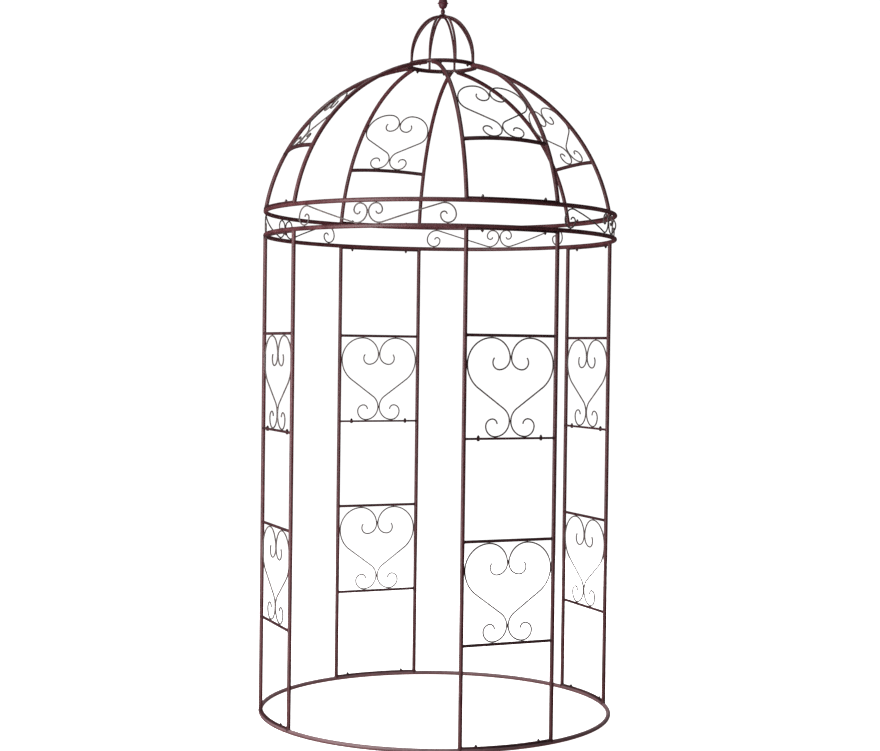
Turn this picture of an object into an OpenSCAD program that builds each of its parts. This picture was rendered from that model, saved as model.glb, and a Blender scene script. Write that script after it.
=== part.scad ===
// Round garden pavilion of painted steel tube: four wall panels between a floor
// ring and a scrolled band, four dome panels on the band, and a hooped crown.
// Origin: centre of the floor ring, on the ground. +Z is up, -Y is the front.

/* [Rings] */
// Radius of the floor ring and of both band rings, to the tube's centre line
ring_r = 742; // [650:1:900]
// Outer diameter of the ring tube
ring_d = 18; // [18:1:24]
// Distance between the centre lines of the two band rings
band_h = 100; // [90:1:130]

/* [Wall panels] */
// Distance between the centre lines of a panel's two posts
bay_w = 390; // [370:5:430]
// Outer diameter of the posts
post_d = 17; // [10:1:17]
// Height of a lower half panel, from the top of the floor ring to the bolted joint
lower_h = 1188; // [1100:1:1400]
// Height of an upper half panel, from the bolted joint to the band
upper_h = 804; // [700:1:1000]
// Height of the lowest rung's centre line above the top of the floor ring
first_rung_h = 393; // [250:1:500]
// Clear height of a bay that holds a heart
heart_bay_h = 388; // [370:1:420]
// Diameter of the round rungs
rung_d = 12; // [8:1:14]
// Width of the flat bars that are bolted together or to a ring
flat_w = 16; // [14:1:20]
// Thickness of the flat bars
flat_t = 4; // [3:0.5:6]

/* [Wire ornament] */
// Diameter of the wire that hearts and scrolls are bent from
wire_d = 6; // [4:0.5:7]
// Clearance where a wire meets the bar or tube that carries it
seat_gap = 0.3; // [0.2:0.1:0.5]
// Diameter of the spot weld that joins two wires side by side
spot_d = 3.4; // [3:0.1:3.8]
// Radius of a wall heart's lower curl where it leaves the weld
heart_curl_r = 60; // [50:1:66]
// Radius of a wall heart's shoulder
heart_shoulder_r = 102; // [92:1:110]
// Radius of the hook at the end of a wall heart's wire
heart_hook_r = 45; // [35:1:50]
// Turn of a wall heart's wire from upright to its slanting flank, in degrees
heart_lean = 54; // [50:1:56]

/* [Band scrolls] */
// Radius of a band scroll's wire below its weld
scroll_r = 44.5; // [38:0.5:48]
// Distance along the ring from a scroll's middle to its outer crest
scroll_reach = 302; // [270:1:330]
// Radius of a scroll's end curl after its crest
scroll_end_r = 44; // [38:1:48]

/* [Dome] */
// Rise from the upper band ring to the crown ring
dome_h = 637; // [600:1:680]
// Radius that the dome ribs are bent to
rib_bend_r = 758; // [720:1:850]
// Outer diameter of the rib tube
rib_d = 17; // [10:1:17]
// Distance between the ends of neighbouring ribs at the crown ring
rib_pitch = 30; // [24:1:40]
// Height of the dome rung's ends above the upper band ring
dome_rung_h = 242; // [200:1:280]
// Diameter of the dome rung
dome_rung_d = 16; // [8:1:16]
// Bow of the dome rung
dome_rung_bow = 20; // [12:1:30]
// Angle of the dome rung's bow above level, in degrees
dome_rung_tilt = 28; // [15:1:40]
// Height of a dome heart above its rung, measured in its own plane
dome_heart_h = 297; // [280:1:310]
// Radius of a dome heart's lower curl
dome_curl_r = 50; // [44:1:54]
// Radius of a dome heart's shoulder
dome_shoulder_r = 96; // [88:1:100]
// Radius of the hook at the end of a dome heart's wire
dome_hook_r = 36; // [30:1:40]
// Turn of a dome heart's wire from upright to its flank, in degrees
dome_lean = 59; // [57:1:61]

/* [Crown] */
// Radius of the crown ring, to the bar's centre line
crown_r = 141; // [130:1:160]
// Diameter of the crown ring's bar
crown_d = 12; // [12:1:16]
// Diameter of the crown hoops
hoop_d = 10; // [8:1:11]
// Rise of the hoops' centre line above the crown ring
hoop_h = 208; // [190:1:230]
// Straight foot of each hoop
hoop_leg = 30; // [15:1:45]
// Radius of the hoops near their top
hoop_top_r = 115; // [105:1:125]
// Diameter of the hub that the hoops end at
hub_d = 29; // [28:1:34]
// Height of the hub
hub_h = 14; // [12:1:18]

/* [Finial] */
// Largest diameter of the olive below the finial
olive_d = 19; // [16:1:24]
// Height of the olive
olive_h = 26; // [22:1:32]
// Diameter of the finial's necks
neck_d = 8; // [6:1:10]
// Diameter of the finial's two cups
cup_d = 37; // [32:1:42]
// Diameter of the collar between the cups
collar_d = 48; // [44:1:54]
// Diameter of the collar's two faces, where it meets the cups
collar_face_d = 35; // [28:1:40]
// Thickness of the collar
collar_t = 9; // [6:1:12]
// Distance between the centres of the two cups
cup_gap = 12; // [8:1:16]
// Diameter of the ball on top
tip_d = 13; // [11:1:16]

/* [Hidden] */

// Turn of each panel about the pavilion's axis
front = 0;
right = 90;
back = 180;
left = 270;
// A doorway lies half way between two panels
half_way = 45;
quarter = 90;

// Colours of the paint
tube_paint = "#4a2a2c";
bar_paint = "#3a2022";
wire_paint = "#56484a";

// Levels
floor_z = ring_d / 2;
foot_z = ring_d;
joint_z = foot_z + lower_h;
band_low_z = joint_z + upper_h + ring_d / 2;
band_high_z = band_low_z + band_h;
crown_z = band_high_z + dome_h;

// Wall panels: the posts stand on the ring's centre line
post_x = bay_w / 2;
post_y = -sqrt(ring_r * ring_r - post_x * post_x);
post_turn = asin(post_x / ring_r);
second_rung_h = first_rung_h + heart_bay_h + rung_d;
upper_rung_z = joint_z + flat_t + heart_bay_h + rung_d / 2;

// Wires: centre line's distance from what the wire touches, and from its twin's plane
wire_seat = wire_d / 2 + seat_gap;
twin_x = wire_d / 2 + seat_gap;
// A curl tightens at each quarter turn, to these shares of its first radius
curl_shrink = [0.67, 0.47, 0.33];
scroll_curl_shrink = [1, 0.83, 0.5, 0.33];
scroll_end_shrink = [0.64, 0.32, 0.23];
// A heart's hook tightens once, and then turns this far to its end
hook_shrink = 0.62;
hook_end_turn = 130;
// A spot weld between twin wires keeps this far from the nearest change of bend
spot_off = 5.5;
// Butt weld between two bends of one bar: how far it stands proud, and the gap it fills
butt_proud = 0.25;
butt_gap = 0.6;

// Turned beads of the finial run this far into each other
bead_bite = 1;

// Fineness of curved sections, of long arcs and of the curved flats
section_fn = 16;
arc_fn = 48;
flat_fn = 192;

// Angle of an arc of the given length, in degrees
function arc_turn(length, r) = length / r * 180 / PI;

// A ring of round bar, lying level at height z
module ring(r, d, z) {
    translate([0, 0, z])
        rotate_extrude($fn = arc_fn)
            translate([r, 0]) circle(d = d, $fn = section_fn);
}

// ---- Wire bent in one plane -------------------------------------------------
module wire_arc(r, turn) {
    rotate_extrude(angle = turn, $fn = arc_fn)
        translate([r, 0]) circle(d = wire_d, $fn = section_fn);
}

module butt_weld(d) {
    rotate([0, 0, quarter]) sphere(d = d + 2 * butt_proud, $fn = section_fn);
}

// Resistance weld between twin wires that lie side by side along Y
module spot_weld() {
    rotate([0, quarter, 0])
        cylinder(h = 2 * twin_x, d = spot_d, center = true, $fn = section_fn);
}

// A wire follows a list of bends, each [radius, turn], with a butt weld between
// one bend and the next. It starts at the origin heading along +X in the XY plane.
// A turn to the left is positive, and a bend of radius 0 is a straight length
// given in place of the turn. Butted is true where the wire starts at a butt weld.
module wire(bends, butted, i = 0) {
    last = i == len(bends) - 1;
    r = bends[i][0];
    turn = bends[i][1];
    side = sign(turn);
    cut0 = butted || i > 0 ? butt_gap / 2 : 0;
    cut1 = last ? 0 : butt_gap / 2;
    if (r == 0) {
        translate([cut0, 0, 0]) rotate([0, quarter, 0])
            cylinder(h = turn - cut0 - cut1, d = wire_d, $fn = section_fn);
        if (!last) translate([turn, 0, 0]) {
            butt_weld(wire_d);
            wire(bends, butted, i + 1);
        }
    } else {
        short0 = arc_turn(cut0, r);
        short1 = arc_turn(cut1, r);
        translate([0, side * r, 0])
            rotate([0, 0, turn > 0 ? short0 - quarter : quarter + turn + short1])
                wire_arc(r, abs(turn) - short0 - short1);
        if (!last) translate([0, side * r, 0]) rotate([0, 0, turn]) translate([0, -side * r, 0]) {
            butt_weld(wire_d);
            wire(bends, butted, i + 1);
        }
    }
}

// ---- Hearts -------------------------------------------------------------------
// Radius of the flank's lower bend: the one circle that is tangent to the slanting
// straight and to the upright through the heart's widest point
function flank_r(dx, dz, lean) = (dz * tan(lean) - dx) / (1 / cos(lean) - 1);

// One heart in the XY plane, +Y up, its curls seated on a bar whose top is y = 0.
// half_w is the wire's reach from the middle, and top_y its highest centre line.
module heart(half_w, top_y, curl_r, shoulder_r, hook_r, lean) {
    low_y = wire_seat + curl_r;
    inner_r = half_w - twin_x - shoulder_r;
    high_y = top_y - inner_r;
    dx = half_w - twin_x - curl_r * (1 - cos(lean));
    dz = top_y - shoulder_r - low_y - curl_r * sin(lean);
    flank = flank_r(dx, dz, lean);
    straight = (dz - flank * sin(lean)) / cos(lean);
    curl = [for (k = curl_shrink) [curl_r * k, -quarter]];
    rise = [
        [curl_r, quarter + lean],
        [0, straight],
        [flank, -lean],
        [shoulder_r, -quarter],
        [inner_r, -quarter],
        [hook_r, -quarter],
        [hook_r * hook_shrink, -hook_end_turn]
    ];
    for (over = [0, 180]) rotate([0, over, 0])
        translate([-twin_x - curl_r, wire_seat, 0]) {
            rotate([0, 0, 180]) wire(curl, true);
            butt_weld(wire_d);
            wire(rise, true);
        }
    translate([0, low_y, 0]) spot_weld();
    translate([0, high_y + spot_off, 0]) spot_weld();
}

// ---- Wall panels ----------------------------------------------------------------
module post(side, z0, z1) {
    translate([side * post_x, post_y, z0]) cylinder(h = z1 - z0, d = post_d, $fn = section_fn);
}

module lower_posts(turn) {
    color(tube_paint) rotate([0, 0, turn])
        for (side = [-1, 1]) difference() {
            post(side, floor_z, joint_z);
            ring(ring_r, ring_d, floor_z);
        }
}

module upper_posts(turn) {
    color(tube_paint) rotate([0, 0, turn])
        for (side = [-1, 1]) difference() {
            post(side, joint_z, band_low_z);
            ring(ring_r, ring_d, band_low_z);
        }
}

// A flat bar that follows a ring, from post to post, lying on height z
module curved_flat(r, half_turn, z) {
    translate([0, 0, z])
        rotate([0, 0, -quarter - half_turn])
            rotate_extrude(angle = 2 * half_turn, $fn = flat_fn)
                translate([r - flat_w / 2, 0]) square([flat_w, flat_t]);
}

module straight_flat(z) {
    translate([-post_x, post_y - flat_w / 2, z]) cube([bay_w, flat_w, flat_t]);
}

module rung(z) {
    translate([-post_x, post_y, z])
        rotate([0, quarter, 0]) cylinder(h = bay_w, d = rung_d, $fn = section_fn);
}

// Bars are cut to the round of the posts that they are welded between
module between_posts(z0, z1) {
    difference() {
        children();
        for (side = [-1, 1]) post(side, z0, z1);
    }
}

module lower_bars(turn) {
    color(bar_paint) rotate([0, 0, turn]) {
        between_posts(floor_z, joint_z) curved_flat(ring_r, post_turn, foot_z);
        between_posts(floor_z, joint_z) rung(foot_z + first_rung_h);
        between_posts(floor_z, joint_z) rung(foot_z + second_rung_h);
        between_posts(floor_z, band_low_z) straight_flat(joint_z - flat_t);
    }
}

module upper_bars(turn) {
    color(bar_paint) rotate([0, 0, turn]) {
        between_posts(floor_z, band_low_z) straight_flat(joint_z);
        between_posts(joint_z, band_low_z) rung(upper_rung_z);
        between_posts(joint_z, band_low_z)
            curved_flat(ring_r, post_turn, band_low_z - ring_d / 2 - flat_t);
    }
}

module wall_heart(turn, bar_top_z) {
    color(wire_paint) rotate([0, 0, turn])
        translate([0, post_y, bar_top_z]) rotate([quarter, 0, 0])
            heart(post_x - post_d / 2 - wire_seat, heart_bay_h - wire_seat,
                  heart_curl_r, heart_shoulder_r, heart_hook_r, heart_lean);
}

module lower_heart(turn) {
    wall_heart(turn, foot_z + first_rung_h + rung_d / 2);
}

module upper_heart(turn) {
    wall_heart(turn, joint_z + flat_t);
}

// ---- Band -------------------------------------------------------------------------
module floor_ring() {
    color(tube_paint) ring(ring_r, ring_d, floor_z);
}

module band_lower_ring() {
    color(tube_paint) ring(ring_r, ring_d, band_low_z);
}

module band_upper_ring() {
    color(tube_paint) ring(ring_r, ring_d, band_high_z);
}

// Scrolls, in the band unrolled flat: y = 0 is the top of the lower ring
scroll_top_y = band_h - ring_d - wire_seat;
scroll_weld_y = wire_seat + scroll_r;
scroll_up_r = scroll_top_y - scroll_weld_y;
scroll_curl = [for (k = scroll_curl_shrink) [scroll_up_r * k, -quarter]];
scroll_end_low_r = scroll_top_y - wire_seat - scroll_end_r;
// Slope of the straight link between the lower bend and the outer crest
link_dx = scroll_reach - twin_x - scroll_r;
link_dy = scroll_top_y - scroll_weld_y - scroll_end_r;
link_slope = atan(link_dy / link_dx)
    + asin((scroll_r + scroll_end_r) / sqrt(link_dx * link_dx + link_dy * link_dy));
// The wire below the weld stops short of the link, so that its end is cut there
scroll_foot = [[scroll_r, quarter + link_slope - arc_turn(butt_gap / 2, scroll_r)]];
scroll_end = concat(
    [[scroll_end_r, -quarter - link_slope], [scroll_end_low_r, -quarter]],
    [for (k = scroll_end_shrink) [scroll_end_r * k, -quarter]]
);
link_x0 = twin_x + scroll_r * (1 + sin(link_slope));
link_y0 = wire_seat + scroll_r * (1 - cos(link_slope));
link_x1 = scroll_reach - scroll_end_r * sin(link_slope);
link_y1 = scroll_top_y - scroll_end_r * (1 - cos(link_slope));
// The inner curl and the end curl each lie in a plane that touches the ring's
// cylinder as far from the link as the other's does
curl_plane_x = scroll_up_r + twin_x;
link_offset = link_x0 - curl_plane_x;
end_plane_x = link_x1 + link_offset;
// Angle round the ring of a length along it
function ring_turn(x) = arc_turn(x, ring_r);

// Places a flat drawing on the plane that touches the band at length x along it
module on_band(x) {
    rotate([0, 0, ring_turn(x)])
        translate([-x, -ring_r, band_low_z + ring_d / 2])
            rotate([quarter, 0, 0]) children();
}

// The link bends round the ring in the slanting plane through its two ends
link_half_turn = ring_turn(end_plane_x - curl_plane_x) / 2;
link_y = ring_r * cos(link_half_turn) + link_offset * sin(link_half_turn);
link_half_x = ring_r * sin(link_half_turn) - link_offset * cos(link_half_turn);
link_rise = atan((link_y1 - link_y0) / (2 * link_half_x));
link_half_len = link_half_x / cos(link_rise);
link_bend = atan(tan(link_half_turn) * cos(link_rise));
link_r = link_half_len / sin(link_bend);
link_short = arc_turn(butt_gap / 2, link_r);

module link() {
    rotate([0, 0, ring_turn(curl_plane_x) + link_half_turn])
        translate([0, -link_y, band_low_z + ring_d / 2 + (link_y0 + link_y1) / 2])
            rotate([0, -link_rise, 0])
                translate([0, link_r * cos(link_bend), 0])
                    rotate([0, 0, -quarter - link_bend + link_short])
                        wire_arc(link_r, 2 * (link_bend - link_short));
}

module half_scroll() {
    on_band(curl_plane_x) {
        translate([twin_x, scroll_weld_y, 0]) {
            rotate([0, 0, quarter]) wire(scroll_curl, true);
            butt_weld(wire_d);
            rotate([0, 0, -quarter]) wire(scroll_foot, true);
        }
        translate([link_x0, link_y0, 0]) butt_weld(wire_d);
    }
    link();
    on_band(end_plane_x) translate([link_x1, link_y1, 0]) {
        butt_weld(wire_d);
        rotate([0, 0, link_slope]) wire(scroll_end, true);
    }
}

module scroll(turn) {
    color(wire_paint) rotate([0, 0, turn]) {
        half_scroll();
        mirror([1, 0, 0]) half_scroll();
        translate([0, -ring_r, band_low_z + ring_d / 2 + scroll_weld_y - spot_off]) spot_weld();
    }
}

// ---- Dome -----------------------------------------------------------------------------
// A rib leaves the upper band ring over a post and ends at the crown ring
rib_end_turn = half_way - asin(rib_pitch / 2 / crown_r);
rib_end_x = crown_r * sin(rib_end_turn);
rib_end_y = -crown_r * cos(rib_end_turn);
rib_end_z = crown_z - crown_d / 2 - flat_t / 2;
rib_run = sqrt(pow(post_x - rib_end_x, 2) + pow(rib_end_y - post_y, 2));
rib_rise = rib_end_z - band_high_z;
rib_plan = atan2(rib_end_y - post_y, rib_end_x - post_x);
rib_half_bend = asin(sqrt(rib_run * rib_run + rib_rise * rib_rise) / 2 / rib_bend_r);
rib_a0 = atan(rib_run / rib_rise) - rib_half_bend;
rib_a1 = rib_a0 + 2 * rib_half_bend;
// The rib at height h above the upper band ring: its angle from upright, and its place
function rib_a(h) = asin(sin(rib_a0) + h / rib_bend_r);
function rib_share(h) = rib_bend_r * (cos(rib_a0) - cos(rib_a(h))) / rib_run;
function rib_x(h) = post_x + (rib_end_x - post_x) * rib_share(h);
function rib_y(h) = post_y + (rib_end_y - post_y) * rib_share(h);

module rib(side) {
    mirror([side < 0 ? 1 : 0, 0, 0])
        translate([post_x, post_y, band_high_z])
            rotate([0, 0, rib_plan])
                translate([rib_bend_r * cos(rib_a0), 0, -rib_bend_r * sin(rib_a0)])
                    rotate([quarter, 0, 0]) rotate([0, 0, 180 - rib_a1])
                        rotate_extrude(angle = rib_a1 - rib_a0, $fn = arc_fn)
                            translate([rib_bend_r, 0]) circle(d = rib_d, $fn = section_fn);
}

crown_flat_turn = rib_end_turn + asin(rib_d / 2 / crown_r);

module crown_flat() {
    curved_flat(crown_r, crown_flat_turn, crown_z - crown_d / 2 - flat_t);
}

module dome_ribs(turn) {
    color(tube_paint) rotate([0, 0, turn])
        for (side = [-1, 1]) difference() {
            rib(side);
            ring(ring_r, ring_d, band_high_z);
            ring(crown_r, crown_d, crown_z);
            crown_flat();
        }
}

dome_rung_x = rib_x(dome_rung_h);
dome_rung_y = rib_y(dome_rung_h);
dome_rung_r = (dome_rung_x * dome_rung_x + dome_rung_bow * dome_rung_bow) / 2 / dome_rung_bow;
dome_rung_half = asin(dome_rung_x / dome_rung_r);

module dome_rung() {
    translate([0, dome_rung_y, band_high_z + dome_rung_h])
        rotate([-dome_rung_tilt, 0, 0])
            translate([0, dome_rung_r - dome_rung_bow, 0])
                rotate([0, 0, -quarter - dome_rung_half])
                    rotate_extrude(angle = 2 * dome_rung_half, $fn = arc_fn)
                        translate([dome_rung_r, 0]) circle(d = dome_rung_d, $fn = section_fn);
}

module dome_bars(turn) {
    color(bar_paint) rotate([0, 0, turn]) {
        difference() {
            curved_flat(ring_r, post_turn, band_high_z + ring_d / 2);
            for (side = [-1, 1]) rib(side);
        }
        difference() {
            dome_rung();
            for (side = [-1, 1]) rib(side);
        }
        crown_flat();
    }
}

// The heart's curls stand on the bowed rung a curl's radius off the middle
dome_foot_x = twin_x + dome_curl_r;
dome_foot_bow = dome_rung_bow - dome_rung_r
    + sqrt(dome_rung_r * dome_rung_r - dome_foot_x * dome_foot_x);
dome_foot_y = dome_rung_y - dome_foot_bow * cos(dome_rung_tilt);
dome_foot_h = dome_rung_h + dome_foot_bow * sin(dome_rung_tilt);
// Its shoulders meet the ribs from inside at their widest points
dome_wide_w = dome_rung_d / 2 + dome_heart_h - wire_seat - dome_shoulder_r;
// Its plane leans until it takes in the ribs' centre lines at that height. The tilt
// closes in on this from a first guess, in so many tries
first_tilt = 45;
tilt_tries = 8;
function dome_tilt(tilt, tries) = tries == 0 ? tilt : dome_tilt(
    atan((rib_y(dome_foot_h + dome_wide_w * cos(tilt)) - dome_foot_y) / dome_wide_w / cos(tilt)),
    tries - 1);
dome_heart_tilt = dome_tilt(first_tilt, tilt_tries);
dome_wide_h = dome_foot_h + dome_wide_w * cos(dome_heart_tilt);
// The ribs close in with height, so a round shoulder touches a little lower down
rib_seat = rib_d / 2 + wire_seat;
rib_narrowing = (post_x - rib_end_x) / rib_run * tan(rib_a(dome_wide_h)) * cos(dome_heart_tilt);
dome_half_w = rib_x(dome_wide_h) - rib_seat
    - (dome_shoulder_r + rib_seat) * (sqrt(1 + rib_narrowing * rib_narrowing) - 1);

module dome_heart(turn) {
    color(wire_paint) rotate([0, 0, turn])
        translate([0, dome_foot_y, band_high_z + dome_foot_h])
            rotate([quarter - dome_heart_tilt, 0, 0])
                translate([0, dome_rung_d / 2, 0])
                    heart(dome_half_w, dome_heart_h - wire_seat,
                          dome_curl_r, dome_shoulder_r, dome_hook_r, dome_lean);
}

// ---- Crown -----------------------------------------------------------------------------
module crown_ring() {
    color(tube_paint) ring(crown_r, crown_d, crown_z);
}

// A hoop rises straight, bends in with a wide radius and then with hoop_top_r
hoop_arc_h = hoop_h - hoop_leg;
hoop_spare_x = crown_r - hoop_top_r;
hoop_spare_z = hoop_arc_h - hoop_top_r;
hoop_shift = (hoop_spare_z * hoop_spare_z + hoop_spare_x * hoop_spare_x) / 2 / hoop_spare_x;
hoop_side_r = hoop_top_r + hoop_shift;
hoop_side_turn = asin(hoop_spare_z / hoop_shift);

// An arc of a hoop, shortened by cut0 and cut1 at its lower and upper ends
module hoop_arc(r, turn, cut0, cut1) {
    short0 = arc_turn(cut0, r);
    short1 = arc_turn(cut1, r);
    rotate([quarter, 0, 0]) rotate([0, 0, short0])
        rotate_extrude(angle = turn - short0 - short1, $fn = arc_fn)
            translate([r, 0]) circle(d = hoop_d, $fn = section_fn);
}

module half_hoop() {
    translate([crown_r, 0, crown_z]) cylinder(h = hoop_leg, d = hoop_d, $fn = section_fn);
    translate([crown_r - hoop_side_r, 0, crown_z + hoop_leg])
        hoop_arc(hoop_side_r, hoop_side_turn, 0, butt_gap / 2);
    translate([0, 0, crown_z + hoop_h - hoop_top_r]) rotate([0, -hoop_side_turn, 0]) {
        hoop_arc(hoop_top_r, quarter - hoop_side_turn, butt_gap / 2, 0);
        translate([hoop_top_r, 0, 0]) butt_weld(hoop_d);
    }
}

module hub() {
    translate([0, 0, crown_z + hoop_h - hub_h / 2]) cylinder(h = hub_h, d = hub_d, $fn = section_fn);
}

module crown_hoops() {
    color(tube_paint)
        for (turn = [0 : half_way : 360 - half_way]) rotate([0, 0, turn]) difference() {
            half_hoop();
            ring(crown_r, crown_d, crown_z);
            hub();
        }
}

// A spindle of the given height whose side is one arc, from the neck out to d
module olive(d, h) {
    bulge = (d - neck_d) / 2;
    r = (bulge * bulge + h * h / 4) / 2 / bulge;
    rotate_extrude($fn = arc_fn) intersection() {
        translate([d / 2 - r, 0]) circle(r = r, $fn = arc_fn);
        translate([0, -h / 2]) square([d / 2, h]);
    }
}

module finial() {
    hub_top = crown_z + hoop_h + hub_h / 2;
    olive_z = hub_top - bead_bite + olive_h / 2;
    olive_top = hub_top - bead_bite + olive_h;
    low_cup_z = olive_top - bead_bite + cup_d / 2;
    collar_z = low_cup_z + cup_gap / 2;
    high_cup_z = low_cup_z + cup_gap;
    tip_z = high_cup_z + cup_d / 2 - bead_bite + tip_d / 2;
    color(tube_paint) {
        hub();
        translate([0, 0, olive_z]) olive(olive_d, olive_h);
        translate([0, 0, low_cup_z]) sphere(d = cup_d, $fn = section_fn);
        translate([0, 0, high_cup_z]) sphere(d = cup_d, $fn = section_fn);
        for (side = [0, 1]) translate([0, 0, collar_z]) mirror([0, 0, side])
            cylinder(h = collar_t / 2, d1 = collar_d, d2 = collar_face_d, $fn = section_fn);
        translate([0, 0, tip_z]) sphere(d = tip_d, $fn = section_fn);
    }
}

floor_ring();
lower_posts(front);  // front_lower_posts
lower_bars(front);  // front_lower_bars
lower_heart(front);  // front_lower_heart
upper_posts(front);  // front_upper_posts
upper_bars(front);  // front_upper_bars
upper_heart(front);  // front_upper_heart
lower_posts(right);  // right_lower_posts
lower_bars(right);  // right_lower_bars
lower_heart(right);  // right_lower_heart
upper_posts(right);  // right_upper_posts
upper_bars(right);  // right_upper_bars
upper_heart(right);  // right_upper_heart
lower_posts(back);  // back_lower_posts
lower_bars(back);  // back_lower_bars
lower_heart(back);  // back_lower_heart
upper_posts(back);  // back_upper_posts
upper_bars(back);  // back_upper_bars
upper_heart(back);  // back_upper_heart
lower_posts(left);  // left_lower_posts
lower_bars(left);  // left_lower_bars
lower_heart(left);  // left_lower_heart
upper_posts(left);  // left_upper_posts
upper_bars(left);  // left_upper_bars
upper_heart(left);  // left_upper_heart
band_lower_ring();
band_upper_ring();
scroll(front + half_way);  // front_right_scroll
scroll(right + half_way);  // back_right_scroll
scroll(back + half_way);  // back_left_scroll
scroll(left + half_way);  // front_left_scroll
dome_ribs(front);  // front_dome_ribs
dome_bars(front);  // front_dome_bars
dome_heart(front);  // front_dome_heart
dome_ribs(right);  // right_dome_ribs
dome_bars(right);  // right_dome_bars
dome_heart(right);  // right_dome_heart
dome_ribs(back);  // back_dome_ribs
dome_bars(back);  // back_dome_bars
dome_heart(back);  // back_dome_heart
dome_ribs(left);  // left_dome_ribs
dome_bars(left);  // left_dome_bars
dome_heart(left);  // left_dome_heart
crown_ring();
crown_hoops();
finial();
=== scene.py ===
"""Round garden pavilion of painted steel: looks, fasteners, welds, stage and camera."""

import math
import random

import bmesh
import bpy
from mathutils import Matrix, Vector


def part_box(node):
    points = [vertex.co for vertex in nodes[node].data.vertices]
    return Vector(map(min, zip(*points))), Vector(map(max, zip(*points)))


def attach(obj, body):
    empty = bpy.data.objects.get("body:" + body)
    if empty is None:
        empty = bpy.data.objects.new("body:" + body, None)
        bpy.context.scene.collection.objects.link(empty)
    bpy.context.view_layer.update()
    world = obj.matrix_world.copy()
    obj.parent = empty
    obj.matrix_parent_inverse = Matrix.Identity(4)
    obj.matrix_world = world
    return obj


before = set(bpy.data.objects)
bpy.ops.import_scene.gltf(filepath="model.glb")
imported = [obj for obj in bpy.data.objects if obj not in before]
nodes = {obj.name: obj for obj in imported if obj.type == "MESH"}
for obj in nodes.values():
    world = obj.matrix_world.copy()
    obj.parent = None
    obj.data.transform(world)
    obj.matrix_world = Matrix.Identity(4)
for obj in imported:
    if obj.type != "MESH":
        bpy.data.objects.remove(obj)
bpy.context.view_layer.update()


# ---- Sizes, in metres -------------------------------------------------------------

MM = 0.001
UP = Vector((0, 0, 1))
SIDES = ("front", "right", "back", "left")
# The left and right halves of a panel, as seen from outside
HALVES = (-1, 1)

# Radii of the round bars, and the thickness of the flat rails that sections meet on
POST_BAR_R = 8.5 * MM
RUNG_R = 6 * MM
DOME_RUNG_R = 8 * MM
HOOP_R = 5 * MM
HUB_R = 14.5 * MM
RAIL_T = 4 * MM


def ring_sizes(name):
    """Radius to the bar's centre line, and the bar's diameter, of a round ring."""
    low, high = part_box(name)
    bar_d = high[2] - low[2]
    return (high[0] - low[0] - bar_d) / 2, bar_d


RING_R, RING_D = ring_sizes("floor_ring")
CROWN_R, CROWN_D = ring_sizes("crown_ring")

# Heights, from the floor ring to the hub. Rungs go by their centre lines.
FOOT_RAIL_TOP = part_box("floor_ring")[1][2] + RAIL_T
RUNG_HEIGHTS = (0.411, 0.811, 1.604)
JOINT_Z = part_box("front_upper_posts")[0][2]
BAND_RAIL_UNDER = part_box("band_lower_ring")[0][2] - RAIL_T
BAND_LOW_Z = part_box("band_lower_ring")[0][2] + RING_D / 2
BAND_HIGH_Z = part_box("band_upper_ring")[0][2] + RING_D / 2
DOME_RAIL_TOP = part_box("band_upper_ring")[1][2] + RAIL_T
CROWN_RAIL_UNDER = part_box("crown_ring")[0][2] - RAIL_T
CROWN_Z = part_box("crown_ring")[0][2] + CROWN_D / 2
HUB_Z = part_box("crown_hoops")[1][2] - HOOP_R

# The front panel: its posts stand on the rings, and its bolts between the posts
POST_X = 0.195
POST_Y = -math.sqrt(RING_R ** 2 - POST_X ** 2)
BOLT_X = 0.134
RAIL_BOLT_Y = -math.sqrt(RING_R ** 2 - BOLT_X ** 2)
CROWN_BOLT_TURN = math.radians(26.0)

# The front dome panel's right rib bends in an upright plane, from over its post to
# the top of the flat under the crown ring. Leans are in degrees from upright.
RIB_FOOT = Vector((POST_X, POST_Y, BAND_HIGH_Z))
RIB_END = Vector((0.08853, -0.10974, CROWN_RAIL_UNDER + RAIL_T))
RIB_PLAN = Vector((RIB_END.x - RIB_FOOT.x, RIB_END.y - RIB_FOOT.y, 0)).normalized()
RIB_LEAN_AT_FOOT = 8.89
RIB_LEAN_AT_RUNG = 28.3
RIB_LEAN_AT_END = 90.0

# Its bowed rung ends on the rib's centre line, and comes off the rib outwards and up
DOME_RUNG_END = Vector((0.18092, -0.63576, BAND_HIGH_Z + 0.242))
DOME_RUNG_BOW = math.radians(12.6)
DOME_RUNG_TILT = math.radians(28.0)

# Wire hearts in their own plane, from the point midway between their feet: half the
# width and the height to the wire's centre line, the feet's distance from the middle,
# the shoulders' bend radius, and the heights where the two wires meet
WALL_HEART = {
    "half_width": 183.2 * MM, "top": 384.7 * MM, "feet": 63.3 * MM,
    "shoulder_r": 102.0 * MM, "neck": 63.3 * MM, "cusp": 312.3 * MM}
DOME_HEART = {
    "half_width": 147.58 * MM, "top": 293.7 * MM, "feet": 53.3 * MM,
    "shoulder_r": 96.0 * MM, "neck": 53.3 * MM, "cusp": 250.9 * MM}

# The dome heart stands on the middle of the bowed rung and leans in with the ribs
DOME_HEART_FOOT = Vector((0, -0.651905, BAND_HIGH_Z + 0.250584))
DOME_HEART_LEAN = math.radians(40.6408)

# Band scrolls, by length along the band from a doorway's middle: where they touch
# the upper ring and the lower one, and how far above the lower one two curls meet
SCROLL_CRESTS = (34.2 * MM, 302.0 * MM)
SCROLL_TROUGHS = (47.8 * MM, 314.6 * MM)
SCROLL_MEETING = 47.8 * MM


# ---- Materials --------------------------------------------------------------------

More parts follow.
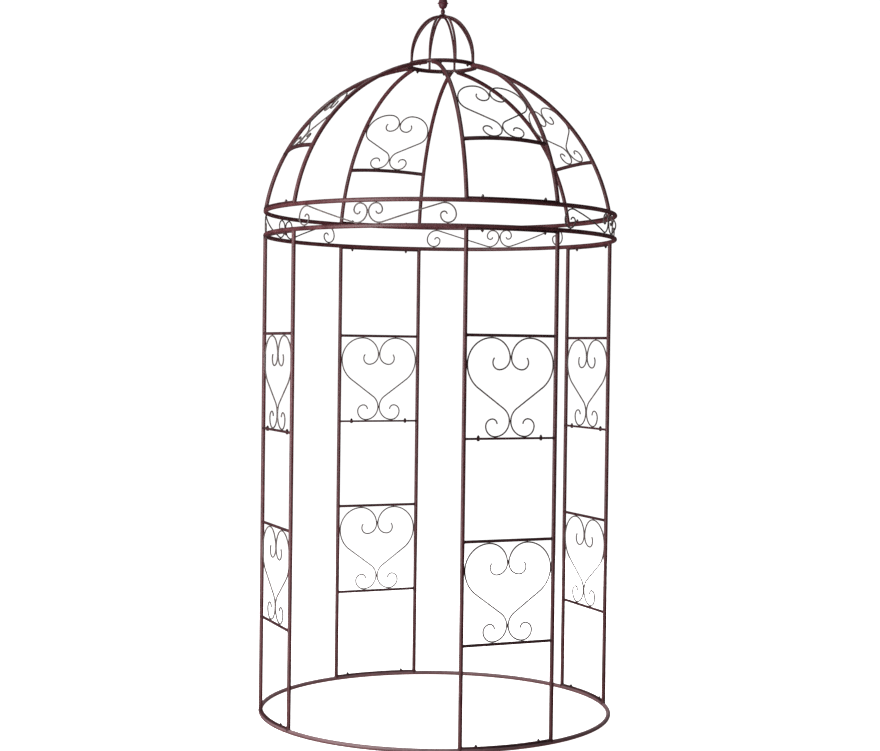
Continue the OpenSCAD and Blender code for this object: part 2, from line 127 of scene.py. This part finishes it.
def linear(hex_colour):
    """An sRGB hex colour as linear RGBA."""
    channels = [int(hex_colour[i:i + 2], 16) / 255 for i in (1, 3, 5)]
    return [c / 12.92 if c <= 0.04045 else ((c + 0.055) / 1.055) ** 2.4
            for c in channels] + [1.0]


def add(tree, kind, inputs=None, **settings):
    """Adds a node of the given kind. Inputs take values or other nodes' outputs."""
    made = tree.nodes.new(kind)
    for key, value in settings.items():
        setattr(made, key, value)
    for key, value in (inputs or {}).items():
        if isinstance(value, bpy.types.NodeSocket):
            tree.links.new(value, made.inputs[key])
        else:
            made.inputs[key].default_value = value
    return made


def ramp(tree, factor, stops):
    """A colour ramp through (position, hex colour) stops."""
    made = add(tree, "ShaderNodeValToRGB", {"Fac": factor})
    band = made.color_ramp
    for place, (position, colour) in enumerate(stops):
        stop = band.elements[place] if place < 2 else band.elements.new(position)
        stop.position = position
        stop.color = linear(colour)
    return made.outputs["Color"]


def mixed(tree, share, under, over_colour):
    """A paler film of one hex colour over a skin, where the share says."""
    # The colour sockets of a Mix node are its seventh and eighth
    return add(tree, "ShaderNodeMix", {
        0: share, 6: under, 7: linear(over_colour)}, data_type="RGBA").outputs[2]


def powder_coat(
        name, deep, mid, worn, roughness, patch=60.0 * MM, worn_share=0.2, dust_and_highlight=None):
    """Brown powder coat on mild steel, sprayed and baked, then left outdoors.

    It gives the eye a satin skin with a fine orange peel, broad cloudy patches
    where it has weathered, and small chalky flecks that are paler and drier.
    With a dust colour, a pale film also lies on the faces that look up: partly settled
    dust, partly a painted highlight for the light that falls on their tops."""
    fleck = 4 * MM
    # Drawn coarser than real orange peel, which would be too fine to show
    peel_pitch = 1.5 * MM
    peel_depth = 0.3 * MM

    coat = bpy.data.materials.new(name)
    coat.use_nodes = True
    tree = coat.node_tree
    tree.nodes.clear()
    place = add(tree, "ShaderNodeTexCoord").outputs["Object"]
    patches = add(tree, "ShaderNodeTexNoise", {
        "Vector": place, "Scale": 1 / patch, "Detail": 5.0, "Roughness": 0.6})
    flecks = add(tree, "ShaderNodeTexNoise", {
        "Vector": place, "Scale": 1 / fleck, "Detail": 3.0, "Roughness": 0.55})
    peel = add(tree, "ShaderNodeTexNoise", {
        "Vector": place, "Scale": 1 / peel_pitch, "Detail": 2.0})
    clouds = ramp(tree, patches.outputs["Fac"], [(0.32, deep), (0.62, mid)])
    chalk = add(tree, "ShaderNodeMapRange", {
        "Value": flecks.outputs["Fac"], "From Min": 0.58, "From Max": 0.74,
        "To Min": 0.0, "To Max": worn_share})
    skin = mixed(tree, chalk.outputs["Result"], clouds, worn)
    # Painted highlight: faces that look up are paled, partly as settled dust and partly
    # as the light that falls on them from above
    if dust_and_highlight:
        up = add(tree, "ShaderNodeSeparateXYZ", {
            "Vector": add(tree, "ShaderNodeNewGeometry").outputs["Normal"]})
        film = add(tree, "ShaderNodeMapRange", {
            "Value": up.outputs["Z"], "From Min": -0.6, "From Max": 0.9,
            "To Min": 0.0, "To Max": 0.4})
        skin = mixed(tree, film.outputs["Result"], skin, dust_and_highlight)
    dryness = add(tree, "ShaderNodeMapRange", {
        "Value": patches.outputs["Fac"], "From Min": 0.3, "From Max": 0.7,
        "To Min": roughness - 0.06, "To Max": roughness + 0.1})
    bump = add(tree, "ShaderNodeBump", {
        "Height": peel.outputs["Fac"], "Strength": 0.15, "Distance": peel_depth})
    shader = add(tree, "ShaderNodeBsdfPrincipled", {
        "Base Color": skin, "Roughness": dryness.outputs["Result"],
        "Normal": bump.outputs["Normal"], "IOR": 1.5, "Metallic": 0.0,
        "Specular IOR Level": 0.4})
    add(tree, "ShaderNodeOutputMaterial", {"Surface": shader.outputs["BSDF"]})
    return coat


tube_coat = powder_coat(
    "maroon_brown_powder_coat_on_tube", "#3d1c1f", "#50292d", "#6c4c4e", 0.42)
# The floor ring's tops are paled, partly by settled dust and partly by a painted
# highlight
ground_coat = powder_coat(
    "powder_coat_at_the_ground_with_dust_and_painted_highlight", "#4a2a2c", "#5d3638", "#8a7072", 0.5,
    dust_and_highlight="#917e83")
bar_coat = powder_coat(
    "maroon_brown_powder_coat_on_bar", "#2c1719", "#412428", "#5e4342", 0.45)
wire_coat = powder_coat(
    "weathered_powder_coat_on_wire", "#433b3a", "#5a504e", "#857a77", 0.5,
    patch=35.0 * MM)
cast_coat = powder_coat(
    "maroon_brown_powder_coat_on_casting", "#3e191f", "#50242d", "#6c464b", 0.45)
bolt_coat = powder_coat(
    "touched_up_paint_on_zinc_bolts", "#1f0f10", "#34191a", "#4f3836", 0.4,
    patch=12.0 * MM)


def coat_for(node):
    """The coat of a CAD node, by what the node is made of."""
    if node.endswith("bars"):
        return bar_coat
    if node.endswith("heart") or node.endswith("scroll"):
        return wire_coat
    if node == "floor_ring":
        return ground_coat
    return cast_coat if node == "finial" else tube_coat


for node_name, node_object in nodes.items():
    for slot in node_object.material_slots:
        slot.material = coat_for(node_name)


# ---- Building new pieces ----------------------------------------------------------

def finish_piece(name, bm, coat):
    """Turns a bmesh into a piece that rides on the pavilion."""
    bmesh.ops.remove_doubles(bm, verts=bm.verts, dist=0.01 * MM)
    bmesh.ops.recalc_face_normals(bm, faces=bm.faces)
    mesh = bpy.data.meshes.new(name)
    bm.to_mesh(mesh)
    bm.free()
    mesh.materials.append(coat)
    piece = bpy.data.objects.new(name, mesh)
    bpy.context.scene.collection.objects.link(piece)
    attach(piece, "root")


def join(bm, part):
    """Adds a finished bmesh to another and frees it."""
    mesh = bpy.data.meshes.new("part")
    part.to_mesh(mesh)
    part.free()
    bm.from_mesh(mesh)
    bpy.data.meshes.remove(mesh)


def put(bm, made, matrix):
    """Moves what an operator has just made."""
    bmesh.ops.transform(bm, matrix=matrix, verts=made["verts"])


def smooth(bm):
    """Shades all the faces smooth."""
    for face in bm.faces:
        face.smooth = True


def turned(side):
    """The turn that takes the front panel to another side."""
    return Matrix.Rotation(math.radians(90 * SIDES.index(side)), 4, "Z")


def mirrored(point, s):
    """A point of the right half, or its mirror image on the left."""
    return Vector((s * point.x, point.y, point.z))


def at_doorway(doorway, along=0.0):
    """The turn to a place on the band, by length along it from a doorway's middle."""
    turn = math.radians(45 + 90 * doorway) + along / RING_R
    return Matrix.Rotation(turn, 4, "Z")


# ---- Bolts ------------------------------------------------------------------------

WASHER_R, WASHER_T = 6.0 * MM, 1.2 * MM
HEXAGON_R = 5.77 * MM
NUT_H, HEAD_H = 5.0 * MM, 4.0 * MM
THREAD_R, THREAD_OUT = 3.0 * MM, 3.4 * MM


def drum(bm, radius, low, high, matrix, segments, bevel):
    """A round or many-sided drum along Z between two heights, with bevelled rims."""
    made = bmesh.ops.create_cone(
        bm, cap_ends=True, cap_tris=False, segments=segments, radius1=radius,
        radius2=radius, depth=high - low)
    # Kept in order, so that each run gives the same mesh
    rims = dict.fromkeys(
        edge for vert in made["verts"] for edge in vert.link_edges
        if abs(edge.verts[0].co.z - edge.verts[1].co.z) < 0.01 * MM)
    put(bm, made, matrix @ Matrix.Translation((0, 0, (low + high) / 2)))
    bmesh.ops.bevel(
        bm, geom=list(rims), offset=bevel, offset_type="OFFSET", segments=2,
        profile=0.5, affect="EDGES", material=-1)


def bolt_head(bm, matrix, height=HEAD_H):
    """Washer and hexagon head of an M6 bolt, standing on z = 0 and pointing up."""
    drum(bm, WASHER_R, 0.0, WASHER_T, matrix, segments=20, bevel=0.3 * MM)
    drum(bm, HEXAGON_R, WASHER_T, WASHER_T + height, matrix, segments=6, bevel=0.7 * MM)


def nut(bm, matrix):
    """Washer, M6 nut and the end of its bolt, standing on z = 0 and pointing up."""
    bolt_head(bm, matrix, NUT_H)
    top = WASHER_T + NUT_H
    drum(bm, THREAD_R, top, top + THREAD_OUT, matrix, segments=12, bevel=0.5 * MM)


def pair(make, x, y, z, hangs=False):
    """A fastener on each half of the front panel, standing at a height or hanging."""
    return [(make, s * x, y, z, hangs) for s in HALVES]


DOWN = Matrix.Rotation(math.pi, 4, "X")
JOINTS = {
    "foot": pair(nut, BOLT_X, RAIL_BOLT_Y, FOOT_RAIL_TOP),
    "waist": pair(nut, BOLT_X, POST_Y, JOINT_Z + RAIL_T)
    + pair(bolt_head, BOLT_X, POST_Y, JOINT_Z - RAIL_T, hangs=True),
    "band": pair(nut, BOLT_X, RAIL_BOLT_Y, BAND_RAIL_UNDER, hangs=True),
    "dome": pair(nut, BOLT_X, RAIL_BOLT_Y, DOME_RAIL_TOP),
    "crown": pair(
        nut, CROWN_R * math.sin(CROWN_BOLT_TURN), -CROWN_R * math.cos(CROWN_BOLT_TURN),
        CROWN_RAIL_UNDER, hangs=True)}

random.seed(11)
for side in SIDES:
    for joint, fasteners in JOINTS.items():
        bm = bmesh.new()
        for make, x, y, z, hangs in fasteners:
            spanner_turn = Matrix.Rotation(random.uniform(0, math.pi / 3), 4, "Z")
            spot = turned(side) @ Matrix.Translation((x, y, z)) @ spanner_turn
            make(bm, spot @ DOWN if hangs else spot)
        finish_piece(f"{side}_{joint}_bolts", bm, bolt_coat)


# ---- Welds ------------------------------------------------------------------------

# Fillets: their legs, and the pitch and the unevenness of their ripples
FILLET_LEG = 3.0 * MM
HOOP_LEG = 2.4 * MM
HUB_LEG = 1.6 * MM
RING_RIPPLE = 2.4 * MM
RING_SWELL = (0.88, 1.12)
RING_WAVE = 0.16
ROW_RIPPLE = 2.2 * MM
ROW_SWELL = (0.9, 1.15)
# Half the length of a straight fillet, a little less than half the flat's width
RAIL_ROW = 7 * MM
RIB_END_ROW = 6 * MM
# A round so large that its side is as good as flat
FLAT_SIDE = 1.0
# Tacks: the blob, the smaller one and how far it strays, and how far out from a
# wire's centre line a tack on its outer side sits
TACK_R = 3.0 * MM
SMALL_BLOB = 0.72
STRAY = 0.35
TACK_OUT = 2.5 * MM

weld_random = random.Random(7)


def saddle_drop(across, tube_r):
    """How far a tube's side falls away at a distance across it from its crest."""
    return tube_r - math.sqrt(max(tube_r ** 2 - across ** 2, 0.0))


def seat_on(origin, out, along):
    """A place on a tube: Z points out along the bar that meets it, X runs along it."""
    z = Vector(out).normalized()
    x = Vector(along)
    x = (x - z * x.dot(z)).normalized()
    turn = Matrix((x, z.cross(x), z)).transposed().to_4x4()
    return Matrix.Translation(origin) @ turn


def weld_ring(bm, matrix, bar_r, tube_r, leg=FILLET_LEG):
    """A fillet weld round a bar that stands on a tube, laid in overlapping ripples.

    Its path is the saddle where the two rounds meet."""
    ripples = max(8, round(2 * math.pi * bar_r / RING_RIPPLE))
    ring = bmesh.new()
    section = bmesh.ops.create_circle(ring, segments=6, radius=leg / 2)
    put(ring, section,
        Matrix.Translation((bar_r, 0, 0)) @ Matrix.Rotation(math.pi / 2, 4, "X"))
    bmesh.ops.spin(
        ring, geom=list(ring.verts) + list(ring.edges), cent=(0, 0, 0), axis=(0, 0, 1),
        angle=2 * math.pi, steps=3 * ripples, use_merge=True)
    swells = [weld_random.uniform(*RING_SWELL) for _ in range(ripples)]
    for vert in ring.verts:
        turn = math.atan2(vert.co.y, vert.co.x) % (2 * math.pi)
        place = turn / (2 * math.pi) * ripples
        wave = 1 + RING_WAVE * math.cos(2 * math.pi * place)
        swell = swells[int(place) % ripples] * wave
        spine = Vector((bar_r * math.cos(turn), bar_r * math.sin(turn), 0))
        vert.co = spine + (vert.co - spine) * swell
        vert.co.z -= saddle_drop(bar_r * math.sin(turn), tube_r)
    bmesh.ops.recalc_face_normals(ring, faces=ring.faces)
    bmesh.ops.transform(ring, matrix=matrix, verts=ring.verts)
    join(bm, ring)


def weld_row(bm, matrix, half_length, tube_r):
    """A straight fillet across a tube, along Y: overlapping ripples on its round."""
    count = max(3, round(2 * half_length / ROW_RIPPLE))
    for step in range(count):
        y = half_length * (2 * step / (count - 1) - 1)
        size = FILLET_LEG / 2 * weld_random.uniform(*ROW_SWELL)
        made = bmesh.ops.create_icosphere(bm, subdivisions=2, radius=size)
        put(bm, made, matrix @ Matrix.Translation((0, y, -saddle_drop(y, tube_r))))


def tack(bm, place, reach=(1.0, 1.0, 1.0)):
    """A tack weld on wire: one blob of filler with a smaller one beside it."""
    spread = Matrix.Diagonal((*reach, 1.0))
    aside = Vector([weld_random.uniform(-STRAY, STRAY) * TACK_R for _ in range(3)])
    for share, shift in ((1.0, Vector()), (SMALL_BLOB, aside)):
        made = bmesh.ops.create_icosphere(bm, subdivisions=2, radius=TACK_R * share)
        put(bm, made, place @ Matrix.Translation(shift) @ spread)


def heart_tacks(bm, plane, heart, under_bar):
    """Tacks of a wire heart: feet, shoulders, crests under a bar, and both meetings."""
    half_width, top, shoulder_r = heart["half_width"], heart["top"], heart["shoulder_r"]
    for s in HALVES:
        spots = [(s * heart["feet"], 0.0),
                 (s * (half_width + TACK_OUT), top - shoulder_r)]
        if under_bar:
            spots.append((s * (half_width - shoulder_r), top + TACK_OUT))
        for x, y in spots:
            tack(bm, plane @ Matrix.Translation((x, y, 0)))
    for y in (heart["neck"], heart["cusp"]):
        tack(bm, plane @ Matrix.Translation((0, y, 0)), (1.0, 2.0, 1.0))


def rib_heading(lean, s):
    """Which way a rib runs where it leans so far from upright. The left one mirrors."""
    turn = math.radians(lean)
    return mirrored(RIB_PLAN * math.sin(turn) + UP * math.cos(turn), s)


def wall_welds(bm, s):
    """Welds at one post of the front panel: at the rings, the rungs and the rails."""
    post = Vector((s * POST_X, POST_Y, 0))
    along_ring = Vector((-POST_Y, s * POST_X, 0))
    inward = Vector((-s, 0, 0))
    side_of_post = post + inward * POST_BAR_R
    for z, out in ((RING_D, UP), (BAND_LOW_Z - RING_D / 2, -UP)):
        weld_ring(bm, seat_on(post + UP * z, out, along_ring), POST_BAR_R, RING_D / 2)
    for z in RUNG_HEIGHTS:
        weld_ring(bm, seat_on(side_of_post + UP * z, inward, UP), RUNG_R, POST_BAR_R)
    for z in (FOOT_RAIL_TOP, JOINT_Z - RAIL_T, JOINT_Z + RAIL_T, BAND_RAIL_UNDER):
        weld_row(bm, seat_on(side_of_post + UP * z, inward, UP), RAIL_ROW, POST_BAR_R)


def dome_welds(bm, s):
    """Welds at one rib of the front dome panel: at its foot, rail, rung and end."""
    along_ring = Vector((-POST_Y, s * POST_X, 0))
    inward = Vector((-s, 0, 0))
    foot = mirrored(RIB_FOOT, s)
    start = rib_heading(RIB_LEAN_AT_FOOT, s)
    weld_ring(bm, seat_on(foot + start * (RING_D / 2), start, along_ring),
              POST_BAR_R, RING_D / 2)
    rail = foot + start * ((DOME_RAIL_TOP - BAND_HIGH_Z) / start.z)
    weld_row(bm, seat_on(rail + inward * POST_BAR_R, inward, UP), RAIL_ROW, POST_BAR_R)
    outward = Vector((0, -math.cos(DOME_RUNG_TILT), math.sin(DOME_RUNG_TILT)))
    rung = inward * math.cos(DOME_RUNG_BOW) + outward * math.sin(DOME_RUNG_BOW)
    weld_ring(bm, seat_on(mirrored(DOME_RUNG_END, s) + rung * POST_BAR_R, rung,
                          rib_heading(RIB_LEAN_AT_RUNG, s)), DOME_RUNG_R, POST_BAR_R)
    # Fillets on both sides of the rib, on top of the crown flat
    end = mirrored(RIB_END, s)
    for hand in (-1, 1):
        across = rib_heading(RIB_LEAN_AT_END, s).cross(UP) * hand
        weld_row(bm, seat_on(end + across * POST_BAR_R, across, UP), RIB_END_ROW,
                 FLAT_SIDE)


for side in SIDES:
    bm = bmesh.new()
    for s in HALVES:
        wall_welds(bm, s)
        dome_welds(bm, s)
    for foot_z in (RUNG_HEIGHTS[0] + RUNG_R, JOINT_Z + RAIL_T):
        plane = Matrix.Translation((0, POST_Y, foot_z)) @ Matrix.Rotation(
            math.pi / 2, 4, "X")
        heart_tacks(bm, plane, WALL_HEART, under_bar=True)
    plane = (
        Matrix.Translation(DOME_HEART_FOOT)
        @ Matrix.Rotation(math.pi / 2 - DOME_HEART_LEAN, 4, "X")
        @ Matrix.Translation((0, DOME_RUNG_R, 0)))
    heart_tacks(bm, plane, DOME_HEART, under_bar=False)
    bmesh.ops.transform(bm, matrix=turned(side), verts=bm.verts)
    smooth(bm)
    finish_piece(f"{side}_panel_welds", bm, bar_coat)

bm = bmesh.new()
band_under, band_over = BAND_HIGH_Z - RING_D / 2, BAND_LOW_Z + RING_D / 2
contacts = [(along, band_under) for along in SCROLL_CRESTS] + [
    (along, band_over) for along in SCROLL_TROUGHS]
for doorway in range(4):
    for s in HALVES:
        for along, z in contacts:
            tack(bm, at_doorway(doorway, s * along) @ Matrix.Translation((0, -RING_R, z)))
    tack(bm, at_doorway(doorway) @ Matrix.Translation(
        (0, -RING_R, band_over + SCROLL_MEETING)), (1.0, 1.0, 2.0))
smooth(bm)
finish_piece("band_scroll_welds", bm, bar_coat)

# Hoops stand on the crown ring and run into the hub
bm = bmesh.new()
for hoop in range(8):
    turn = Matrix.Rotation(math.radians(45 * hoop), 4, "Z")
    foot = Vector((CROWN_R, 0, CROWN_Z + CROWN_D / 2))
    hub_side = Vector((HUB_R, 0, HUB_Z))
    weld_ring(bm, turn @ seat_on(foot, UP, (0, 1, 0)), HOOP_R, CROWN_D / 2, HOOP_LEG)
    weld_ring(bm, turn @ seat_on(hub_side, (1, 0, 0), UP), HOOP_R, HUB_R, HUB_LEG)
smooth(bm)
finish_piece("crown_welds", bm, tube_coat)


# ---- Stage, light and camera ------------------------------------------------------

AIM = Vector((0, 0, 1.5))
STAGE_GLOW = 1.08
FLOOR_R = 40.0
BACKDROP_R = 45.0


def lamp(name, place, width, height, power, tint="#ffffff"):
    """A softbox that faces the middle of the pavilion."""
    light = bpy.data.lights.new(name, "AREA")
    light.shape = "RECTANGLE"
    light.size = width
    light.size_y = height
    light.energy = power
    light.color = linear(tint)[:3]
    holder = bpy.data.objects.new(name, light)
    holder.location = place
    holder.rotation_euler = (AIM - Vector(place)).to_track_quat("-Z", "Y").to_euler()
    bpy.context.scene.collection.objects.link(holder)
    return holder


lamp("key_softbox", (-2.3, -1.1, 1.5), 1.3, 3.4, power=115)
lamp("front_softbox", (-2.5, -7.5, 3.0), 3.0, 3.0, power=45)
lamp("top_softbox", (-1.2, -0.6, 6.5), 4.0, 4.0, power=110)
# These fill in the shaded sides, as a matt floor and matt walls do, with no glint
for fill in (
        lamp("floor_bounce", (-0.8, -1.2, -3.0), 4.5, 4.5, power=210, tint="#fff4f2"),
        lamp("back_left_fill", (-3.5, 3.5, 2.0), 2.0, 3.4, power=200),
        lamp("back_right_fill", (3.5, 3.5, 2.0), 2.0, 3.4, power=190),
        lamp("right_fill", (5.0, -0.5, 2.0), 2.0, 3.4, power=80)):
    fill.visible_glossy = False


def stage_piece(name, bm, colour):
    """A matt, softly glowing piece of the studio, which the pavilion doesn't mirror."""
    mesh = bpy.data.meshes.new(name)
    bm.to_mesh(mesh)
    bm.free()
    paint = bpy.data.materials.new("matt_" + name)
    paint.use_nodes = True
    for socket, value in {
            "Base Color": linear(colour), "Roughness": 1.0, "Specular IOR Level": 0.0,
            "Emission Color": linear("#ffffff"), "Emission Strength": STAGE_GLOW}.items():
        paint.node_tree.nodes["Principled BSDF"].inputs[socket].default_value = value
    mesh.materials.append(paint)
    piece = bpy.data.objects.new(name, mesh)
    piece.visible_glossy = False
    piece.visible_diffuse = False
    piece.visible_shadow = False
    bpy.context.scene.collection.objects.link(piece)


bm = bmesh.new()
bmesh.ops.create_circle(bm, cap_ends=True, segments=96, radius=FLOOR_R)
stage_piece("studio_floor", bm, "#f2f2f2")

bm = bmesh.new()
bmesh.ops.create_uvsphere(bm, u_segments=64, v_segments=32, radius=BACKDROP_R)
bmesh.ops.reverse_faces(bm, faces=bm.faces)
stage_piece("studio_backdrop", bm, "#000000")

world = bpy.data.worlds.new("studio_walls")
bpy.context.scene.world = world
world.use_nodes = True
walls = world.node_tree.nodes["Background"]
walls.inputs["Color"].default_value = linear("#e8ecf2")
walls.inputs["Strength"].default_value = 0.06

# The camera stands a little left of the front panel, at eye height
CAMERA_PLACE = (-2.6750, -6.3190, 1.5566)
CAMERA_TURN, CAMERA_DIP, CAMERA_ROLL = (math.radians(a) for a in (-23.0, 1.019, 0.702))
camera_data = bpy.data.cameras.new("camera")
camera_data.sensor_width = 36.0
camera_data.lens = 65.66
camera_data.clip_end = 200.0
camera = bpy.data.objects.new("camera", camera_data)
camera.matrix_world = (
    Matrix.Translation(CAMERA_PLACE)
    @ Matrix.Rotation(CAMERA_TURN, 4, "Z")
    @ Matrix.Rotation(math.pi / 2 - CAMERA_DIP, 4, "X")
    @ Matrix.Rotation(CAMERA_ROLL, 4, "Z"))
bpy.context.scene.collection.objects.link(camera)
bpy.context.scene.camera = camera

bpy.context.scene.view_settings.view_transform = "Standard"
bpy.context.scene.view_settings.look = "None"
